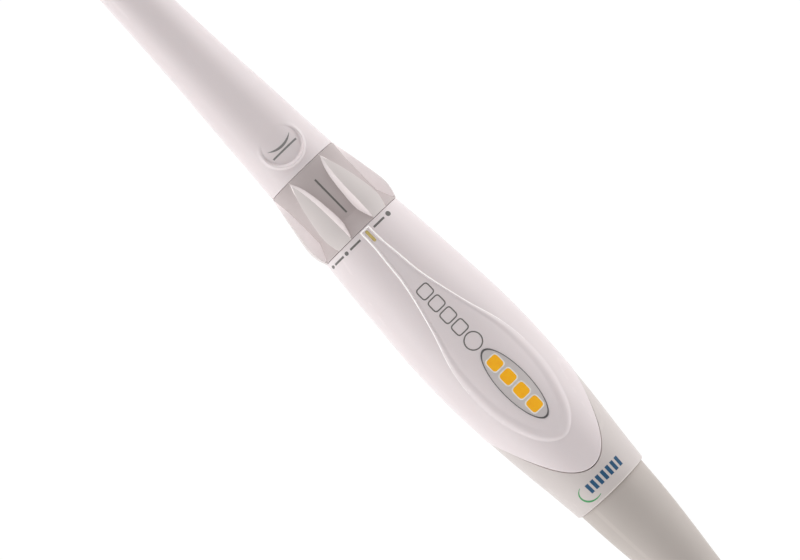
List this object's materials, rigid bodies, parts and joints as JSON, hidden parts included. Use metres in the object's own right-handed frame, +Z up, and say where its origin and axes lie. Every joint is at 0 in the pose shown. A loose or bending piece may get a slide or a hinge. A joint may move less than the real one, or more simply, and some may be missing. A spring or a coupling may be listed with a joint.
{
  "type": "intraoral camera",
  "caption": "Slim dental camera wand with a downward-looking lit lens head, a turning focus ring with petal grips, a touch zone, a teardrop status inlay and a pull-off tail.",
  "frame": {"origin": "on the flat under the body that the camera rests on, below the long axis", "axes": "+X along the handpiece towards the lens head, +Z up, out of the face with the touch zone and the teardrop inlay; the long axis is 12.75 mm above the flat"},
  "size_m": [0.245, 0.028, 0.0257],
  "materials": {
    "shell_white": "satin moulded plastic, soft gloss",
    "rear_beige": "fine satin",
    "tail_grey": "fine satin, slightly soft",
    "ring_grey": "satin moulded plastic",
    "print_grey": "printed ink",
    "badge_silver": "brushed silver lacquer with a darker rim",
    "amber": "translucent amber",
    "window_glass": "coated, polished",
    "lens_glass": "polished, coated",
    "prism_glass": "polished",
    "filter_glass": "coated, slightly cyan",
    "seal_rubber": "moulded",
    "gland_rubber": "moulded, matt",
    "board_green": "solder mask",
    "chip_black": "moulded epoxy",
    "sensor_black": "ceramic-look package",
    "led_white": "clear encapsulant over phosphor",
    "led_blue": "clear encapsulant",
    "steel": "ground",
    "aluminium_black": "black anodised",
    "aluminium_plain": "fine turned",
    "chassis_metal": "cast and blasted",
    "contact_gold": "gold flashed",
    "copper_foil": "bare foil",
    "flex_amber": "polyimide film",
    "connector_black": "moulded",
    "tin_can": "pressed tin plate",
    "capacitor_tan": "fired ceramic",
    "lead_red": "wire insulation"
  },
  "bodies": {
    "handpiece": {"neck_shell": "shell_white", "touch_icon": "print_grey", "touch_electrode": "copper_foil", "window": "window_glass", "window_gasket": "seal_rubber", "led_board": "board_green", "white_leds": "led_white", "blue_leds": "led_blue", "objective_cell": "aluminium_black", "objective_lens": "lens_glass", "prism": "prism_glass", "prism_housing": "aluminium_black", "relay_tube": "aluminium_plain", "relay_lenses": "lens_glass", "relay_spacers": "aluminium_black", "relay_mount": "aluminium_black", "core_tube": "aluminium_plain", "ring_seals": "seal_rubber", "guide_rods": "steel", "rear_guide": "aluminium_black", "infrared_filter": "filter_glass", "sensor_board": "board_green", "image_sensor": "sensor_black", "sensor_glass": "lens_glass", "sensor_screws": "steel", "flex_cable": "flex_amber", "body_shell": "shell_white", "inlay_panel": "shell_white", "badge": "badge_silver", "status_lens": "amber", "status_board": "board_green", "status_led": "led_white", "focus_scale": "print_grey", "rear_shell": "rear_beige", "chassis": "chassis_metal", "main_board": "board_green", "processor": "chip_black", "shield_can": "tin_can", "board_chips": "chip_black", "board_passives": "capacitor_tan", "board_plug": "connector_black", "board_screws": "steel", "rear_socket": "connector_black", "socket_pins": "contact_gold", "socket_leads": "lead_red"},
    "ring": {"focus_ring": "ring_grey", "ring_index": "print_grey", "drive_pin": "steel", "cam_sleeve": "aluminium_plain"},
    "carriage": {"focus_carriage": "aluminium_black", "follower_pin": "steel", "focus_lens_front": "lens_glass", "focus_lens_rear": "lens_glass"},
    "tail": {"tail_sleeve": "tail_grey", "tail_seal": "seal_rubber", "tail_plug": "connector_black", "plug_contacts": "contact_gold", "cable_gland": "gland_rubber"}
  },
  "joints": [
    {"name": "focus_ring_turn", "type": "hinge", "parent": "handpiece", "child": "ring", "pos_m": [0.041, 0, 0.01275], "axis": [1, 0, 0], "range_deg": [-72, 36]},
    {"name": "focus_carriage_slide", "type": "slide", "parent": "handpiece", "child": "carriage", "axis": [1, 0, 0], "range_m": [-0.0021, 0.0041]},
    {"name": "tail_pull", "type": "slide", "parent": "handpiece", "child": "tail", "axis": [-1, 0, 0], "range_m": [0, 0.015]}
  ],
  "couplings": [
    {"joint": "focus_carriage_slide", "follows": "focus_ring_turn", "m_per_rad": -0.0031831}
  ]
}
